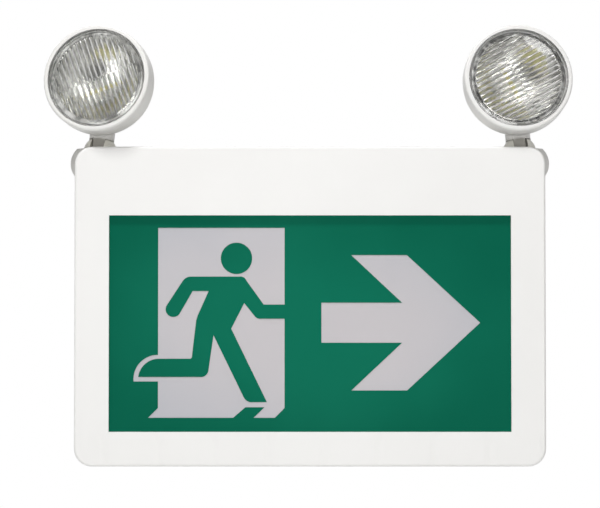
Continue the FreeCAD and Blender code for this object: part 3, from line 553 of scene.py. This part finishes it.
# %% The ribs
def rib_row(end, radius, crest, count):
    row = add_cylinder(
        vertices=RIB_FACETS, radius=radius, depth=LENS_CLEAR_R + RIB_BITE,
        location=(end * (LENS_CLEAR_R - RIB_BITE) / 2,
                  (end / 4 - count // 2) * RIB_PITCH, crest + radius),
        rotation=(0, math.pi / 2, 0))
    bpy.ops.object.mode_set(mode="EDIT")
    bpy.ops.mesh.select_all(action="SELECT")
    bpy.ops.mesh.bisect(plane_co=(0, 0, LENS_PLATE_BACK + RIB_BITE), plane_no=(0, 0, 1),
                        use_fill=True, clear_outer=True)
    bpy.ops.object.mode_set(mode="OBJECT")
    apply_modifier(row, "row", "ARRAY", count=count, use_relative_offset=False,
                   use_constant_offset=True, constant_offset_displace=(0, RIB_PITCH, 0))
    return row


def lens_ribs():
    radius = (RIB_PITCH ** 2 / 4 + RIB_H ** 2) / (2 * RIB_H)
    count = 2 * int(LENS_CLEAR_R / RIB_PITCH) + 1
    rows = [rib_row(end, radius, LENS_PLATE_BACK - RIB_H, count) for end in (-1, 1)]
    only(rows[0])
    rows[1].select_set(True)
    bpy.ops.object.join()
    joined = bpy.context.object
    bpy.ops.mesh.primitive_cylinder_add(
        vertices=FACETS, radius=LENS_CLEAR_R - RIB_BITE, depth=TRIM_T,
        location=(0, 0, LENS_PLATE_BACK))
    disc = bpy.context.object
    apply_modifier(joined, "trim", "BOOLEAN", operation="INTERSECT", object=disc,
                   solver="EXACT", use_self=True)
    bpy.data.objects.remove(disc)
    print("ribs:", 2 * count, "in two rows")
    return joined


ribs = lens_ribs()
apply_modifier(flat_lens, "ribs", "BOOLEAN", operation="UNION", object=ribs, solver="EXACT")
bpy.data.objects.remove(ribs)
only(flat_lens)
bpy.ops.object.shade_smooth_by_angle(angle=SMOOTH_ANGLE)
print("flat lens: faces", len(flat_lens.data.polygons))

# %% [markdown]
# ## Clear plastic and a painted dark rim
#
# The lens is clear acrylic with a faint skin of its own. At the side of the
# flange light gets trapped in the plastic, which looks dark from the front. Traced
# glass alone needs many bounces to show that, so those faces get a dark grey
# material instead: painted shade, not a smoky plastic.

# %% Clear material, and a dark one painted on the rim
lens_clear, _ = start_material(
    "lens_clear", skin, Colour=card(252, 252, 251), Second_Colour=card(248, 249, 247),
    Roughness=0.06)
principled(lens_clear).inputs["Transmission Weight"].default_value = 1.0
principled(lens_clear).inputs["IOR"].default_value = PLASTIC_IOR
# painted shade: a dark grey on the flange side stands for the dark line round the lens
lens_rim_painted_dark = moulded("lens_rim_painted_dark", card(70, 70, 74), card(40, 40, 44), 0.2)
print("lens materials:", lens_clear.name, lens_rim_painted_dark.name)

# %% [markdown]
# ## Setting the lenses in their heads
#
# The heads are turned and tilted, so the place of a lens is measured on the CAD
# lens that it stands for: its front faces give the axis, the tilt joint gives the
# sideways direction, and its reach along each direction gives the middle. Angles
# typed by hand would need a change each time the heads are aimed anew.

# %% Place both lenses
FRONT_FACING = 0.8           # how squarely a CAD face looks forward to count as front
RIM_BAND, STEEP = 0.3 * MM, 0.5


def lens_place(side):
    mesh = frame["nodes"]["lens_" + side].data
    front = Vector()
    for face in mesh.polygons:
        if face.normal.y < -FRONT_FACING:
            front += face.normal * face.area
    front.normalize()
    across = Vector(joint("tilt_" + side)["axis"])
    across *= math.copysign(1, across.x)
    across = (across - across.dot(front) * front).normalized()
    upward = front.cross(across)

    def span(way):
        reach = [way.dot(vertex.co) for vertex in mesh.vertices]
        return min(reach), max(reach)

    middle = (across * sum(span(across)) + upward * sum(span(upward))) / 2
    place = Matrix((across, upward, front)).transposed().to_4x4()
    place.translation = middle + front * span(front)[0]
    return place @ Matrix.Rotation(RIB_RUN[side], 4, "Z")


def on_rim(face):
    out = math.hypot(face.center.x, face.center.y)
    return out > LENS_FLANGE_R - RIM_BAND and abs(face.normal.z) < STEEP


for side in SIDES:
    lens = flat_lens.copy()
    lens.data = flat_lens.data.copy()
    lens.name = "fluted_lens_" + side
    bpy.context.collection.objects.link(lens)
    lens.data.materials.append(lens_clear)
    lens.data.materials.append(lens_rim_painted_dark)
    for face in lens.data.polygons:
        # the rim faces take the dark material, painted shade
        face.material_index = int(on_rim(face))
    place = lens_place(side)
    lens.data.transform(place)
    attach(lens, "lamp_" + side)
    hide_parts("lens_" + side)
    print(lens.name, "back middle in mm:", in_mm(place.translation))
bpy.data.objects.remove(flat_lens)

# %% [markdown]
# ## The bright bowl
#
# Behind the lens lies a bowl with a bright vapour coat. Such a coat is never a
# perfect mirror: it is grey in places, and it waves a little as the moulding under
# it does. The cream patch is a painted reflection of the lit yellow chips, laid
# into the coat's colour. A group mixes the three tones. The cream patch has a
# middle and a reach, so each head has its own, and the coat is less of a metal
# there.

# %% The vapour coat group
CREAM_PLAY = 0.35            # how ragged the edge of the patch is
CREAM_EDGE = (0.6, 1.1)      # shares of the reach between which the cream ends
COAT_ROUGHNESS, COAT_METAL = (0.1, 0.5), (1.0, 0.25)     # bare coat, then cream

coat, entry, leave = start_group(
    "vapour_coat",
    [("Place", VECTOR, None), ("Cream Middle", VECTOR, None), ("Cream Reach", NUMBER, 0.012),
     ("Colour", COLOUR, card(242, 242, 240)), ("Grey", COLOUR, card(188, 187, 184)),
     ("Cream", COLOUR, card(240, 232, 176)), ("Cloud Scale", NUMBER, 70.0),
     ("Wave Scale", NUMBER, 160.0)],
    [("Colour", COLOUR), ("Roughness", NUMBER), ("Height", NUMBER), ("Metal", NUMBER)],
)
cloud = noise(coat, entry.outputs["Place"], entry.outputs["Cloud Scale"], detail=3.0)
wave = noise(coat, entry.outputs["Place"], entry.outputs["Wave Scale"], detail=1.0)
away = vector_step(coat, "DISTANCE", entry.outputs["Place"], entry.outputs["Cream Middle"])
share = number_step(coat, "DIVIDE", away, entry.outputs["Cream Reach"])
ragged = number_step(coat, "ADD", share, spread(coat, cloud, NOISE_WIDE, play(CREAM_PLAY)))
# the cream patch: a painted reflection of the lit yellow chips
painted_chip_reflection = spread(coat, ragged, CREAM_EDGE, REVERSED, soft=True)
tone = blend_colours(coat, spread(coat, cloud, NOISE_CORE, FULL, soft=True),
                     entry.outputs["Colour"], entry.outputs["Grey"])
coat.links.new(blend_colours(coat, painted_chip_reflection, tone, entry.outputs["Cream"]),
               leave.inputs["Colour"])
coat.links.new(spread(coat, painted_chip_reflection, FULL, COAT_ROUGHNESS), leave.inputs["Roughness"])
coat.links.new(wave, leave.inputs["Height"])
coat.links.new(spread(coat, painted_chip_reflection, FULL, COAT_METAL), leave.inputs["Metal"])
print("group:", coat.name, "with", len(coat.nodes), "nodes")

# %% [markdown]
# ## Bowl, board and chips
#
# The painted cream reflection sits above the middle of each bowl and a little to
# one side of it, measured from the bowl's CAD box. The lamp board is white solder
# mask, and the chips are yellow.

# %% Bowl, board and chips
# painted reflection of the chips: where the cream patch sits in each bowl, and how far it
# reaches
CREAM = {        # aside and up from the bowl's middle, and reach
    "left": (3.2 * MM, 17.5 * MM, 9 * MM),
    "right": (8.0 * MM, 10.5 * MM, 12 * MM),
}
WAVE_BUMP, WAVE_DEPTH = 0.3, 1.2 * MM

for side, (aside, up, reach) in CREAM.items():
    middle = middle_of(*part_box("reflector_" + side))
    middle[0] += aside
    middle[2] += up
    bowl, effect = start_material("bowl_bright_" + side, coat, Cream_Middle=middle,
                                  Cream_Reach=reach)
    bowl.node_tree.links.new(effect.outputs["Metal"], principled(bowl).inputs["Metallic"])
    add_bump(bowl, effect.outputs["Height"], WAVE_BUMP, WAVE_DEPTH)
    dress(bowl, "reflector_" + side)
    print("cream patch", side, "in mm:", in_mm(middle))
white_board = moulded("white_board", card(222, 222, 214), card(212, 212, 206), 0.4)
chip_yellow = moulded("chip_yellow", card(226, 214, 120), card(214, 202, 104), 0.4)
dress(white_board, "led_bar_top", "led_bar_bottom", *pair("led_board"))
dress(chip_yellow, "bar_chips_top", "bar_chips_bottom", *pair("led_chips"))

# %% [markdown]
# ## Screws, washers and straps
#
# The fixings are steel and zinc. Worn metal has the same slow drift and fine
# grain as plastic, so the moulded skin serves with its shader made a metal.

# %% Metals
def metal(name, colour, second, roughness):
    material = moulded(name, colour, second, roughness)
    principled(material).inputs["Metallic"].default_value = 1.0
    return material


dress(metal("screw_steel", card(190, 190, 188), card(170, 170, 168), 0.3),
      "board_screws", "light_box_screws", "strap_screws", *pair("pivot_screw"),
      *pair("pivot_nut"), *pair("led_board_screws"))
dress(metal("strap_zinc", card(200, 200, 196), card(180, 181, 180), 0.35),
      "battery_strap", "transformer_frame", *pair("turret_washer"), *pair("pivot_washer"))
print("dressed so far:", len(dressed), "nodes")

# %% [markdown]
# ## Boards and the pieces inside
#
# Most of these pieces are out of sight behind the cover. They are finished all
# the same, in the plain colours that such parts have: green board, black sleeves,
# a blue relay case, yellow winding tape. The red button and the pilot lamp show
# in the underside. A table holds them, since they differ in values alone.

# %% Plastics and boards inside
for finish, colour, second, roughness, names in (
        ("board_green", card(28, 92, 60), card(24, 80, 52), 0.4, ["control_board"]),
        ("box_white", card(244, 244, 242), card(240, 240, 238), 0.5,
         ["light_box", *pair("turret_nut")]),
        ("relay_blue", card(30, 60, 130), card(26, 54, 120), 0.35, ["relay"]),
        ("sleeve_black", card(30, 30, 34), card(40, 40, 44), 0.4, ["board_capacitors"]),
        ("terminal_plastic", card(40, 130, 70), card(36, 120, 64), 0.4, ["terminal_block"]),
        ("battery_wrap", card(40, 110, 90), card(36, 104, 84), 0.3, ["battery_pack"]),
        ("core_iron", card(70, 70, 74), card(56, 56, 60), 0.5, ["transformer_core"]),
        ("tape_yellow", card(222, 190, 70), card(210, 178, 60), 0.4, ["transformer_coil"]),
        ("switch_black", card(26, 26, 28), card(32, 32, 34), 0.45, ["test_switch"]),
        ("button_red", card(186, 24, 26), card(176, 20, 24), 0.35, ["test_button"]),
        ("pilot_green", card(60, 190, 90), card(50, 176, 80), 0.2, ["charge_lamp"])):
    dress(moulded(finish, colour, second, roughness), *names)
print("CAD nodes without a finish:", sorted(set(frame["nodes"]) - dressed))

# %% [markdown]
# ## The studio
#
# The light hangs on a wall in use. Here it hangs free over a plain pale floor, in
# front of white. The world gives a weak even light, and shows as white only to
# the camera and to rays that a surface mirrors or lets through. For those rays
# the room behind the camera is nearly dark, and the bright bowls mirror that.

# %% World
ROOM_LIGHT, ROOM_WHITE, ROOM_DARK_SIDE = 0.21, 1.0, 0.04
DARK_SIDE_EDGE = (-0.95, -0.8)     # how squarely a ray runs back past the camera


def seen_rays(tree):
    path = tree.nodes.new("ShaderNodeLightPath")
    by_camera = path.outputs["Is Camera Ray"]
    bent = number_step(tree, "MAXIMUM", path.outputs["Is Glossy Ray"],
                       path.outputs["Is Transmission Ray"])
    return by_camera, number_step(tree, "MAXIMUM", by_camera, bent)


def background(tree, strength):
    node = tree.nodes.new("ShaderNodeBackground")
    node.inputs["Color"].default_value = (1, 1, 1, 1)
    feed(tree, strength, node.inputs["Strength"])
    return node.outputs[0]


def mix_shaders(tree, factor, first, second):
    mix = tree.nodes.new("ShaderNodeMixShader")
    for socket, source in zip(mix.inputs, (factor, first, second)):
        tree.links.new(source, socket)
    return mix.outputs[0]


world = bpy.data.worlds.new("soft_studio")
bpy.context.scene.world = world
world.use_nodes = True
tree = world.node_tree
tree.nodes.clear()
by_camera, seen = seen_rays(tree)
sky = tree.nodes.new("ShaderNodeTexCoord")
ways = tree.nodes.new("ShaderNodeSeparateXYZ")
tree.links.new(sky.outputs["Generated"], ways.inputs[0])
bright = spread(tree, ways.outputs["Y"], DARK_SIDE_EDGE, (ROOM_DARK_SIDE, ROOM_WHITE),
                soft=True)
room = background(tree, ROOM_LIGHT)
white = background(tree, number_step(tree, "MAXIMUM", bright, by_camera))
end = tree.nodes.new("ShaderNodeOutputWorld")
tree.links.new(mix_shaders(tree, seen, room, white), end.inputs["Surface"])
print("world:", world.name, "with", len(tree.nodes), "nodes")

# %% [markdown]
# ## Lamps
#
# A small strong lamp almost overhead, a little to the left and in front, gives
# the light its form: the heads shade the top of the cover. A larger one far in
# front, at the height of the cover, fills the face softly.

# %% Lamps
LAMPS = {        # place and size in metres, power in watts
    "overhead_box": ((-0.25, -0.55, 1.5), 0.25, 17),
    "front_box": ((0.0, -1.95, 0.05), 0.9, 13.5),
}

for name, (place, size, power) in LAMPS.items():
    bpy.ops.object.light_add(type="AREA", location=place)
    lamp = bpy.context.object
    lamp.name = name
    lamp.data.shape = "DISK"
    lamp.data.size = size
    lamp.data.energy = power
    lamp.rotation_euler = (-Vector(place)).to_track_quat("-Z", "Y").to_euler()

# %% [markdown]
# ## The floor
#
# The floor is plain and pale, and lies below what the camera takes in. To the
# camera and in reflections more than half of its colour is plain white light, so
# that it stays pale where few lamps reach it, and the rest is lit and keeps the
# shadow. It fades to white away from the light, and its edges don't show.

# %% Floor
FLOOR_DROP, FLOOR_SIZE = 0.15, 8
FLOOR_PALE, FLOOR_ROUGHNESS, FLOOR_GLOSS = card(245, 245, 244), 0.8, 0.1
FADE_REACH, FADE_SHARE = (0.35, 1.4), (0.55, 1.0)   # metres out, share of plain white

floor_z = cad_low[2] - FLOOR_DROP
bpy.ops.mesh.primitive_plane_add(size=FLOOR_SIZE, location=(0, 0, floor_z))
floor = bpy.context.object
floor.name = "studio_floor"
pale = bpy.data.materials.new("pale_floor")
pale.use_nodes = True
tree, matt = pale.node_tree, principled(pale)
matt.inputs["Base Color"].default_value = FLOOR_PALE
matt.inputs["Roughness"].default_value = FLOOR_ROUGHNESS
matt.inputs["Specular IOR Level"].default_value = FLOOR_GLOSS
_, seen = seen_rays(tree)
spot = tree.nodes.new("ShaderNodeTexCoord")
fade = spread(tree, vector_step(tree, "LENGTH", spot.outputs["Object"]),
              FADE_REACH, FADE_SHARE, soft=True)
plain_white = tree.nodes.new("ShaderNodeEmission")
surface = mix_shaders(tree, number_step(tree, "MULTIPLY", seen, fade),
                      matt.outputs[0], plain_white.outputs[0])
tree.links.new(surface, tree.nodes["Material Output"].inputs["Surface"])
floor.data.materials.append(pale)
print("floor at mm:", round(floor_z / MM))

# %% [markdown]
# ## The camera
#
# A long lens from straight ahead and slightly below, as a catalogue shows such a
# light. The aim is the middle of the view on the plane of the cover.

# %% Camera
REACH = 1.5
TILT = math.radians(1.7)
AIM = (-0.0067, -0.05, 0.0349)
SENSOR_WIDTH, FOCAL_LENGTH = 36, 134.7      # millimetres

bpy.ops.object.camera_add(
    location=(AIM[0], AIM[1] - REACH * math.cos(TILT), AIM[2] - REACH * math.sin(TILT)),
    rotation=(math.pi / 2 + TILT, 0, 0))
camera = bpy.context.object
camera.data.sensor_width = SENSOR_WIDTH
camera.data.lens = FOCAL_LENGTH
bpy.context.scene.camera = camera
bpy.context.scene.view_settings.view_transform = "Standard"
print("camera at mm:", in_mm(camera.location))
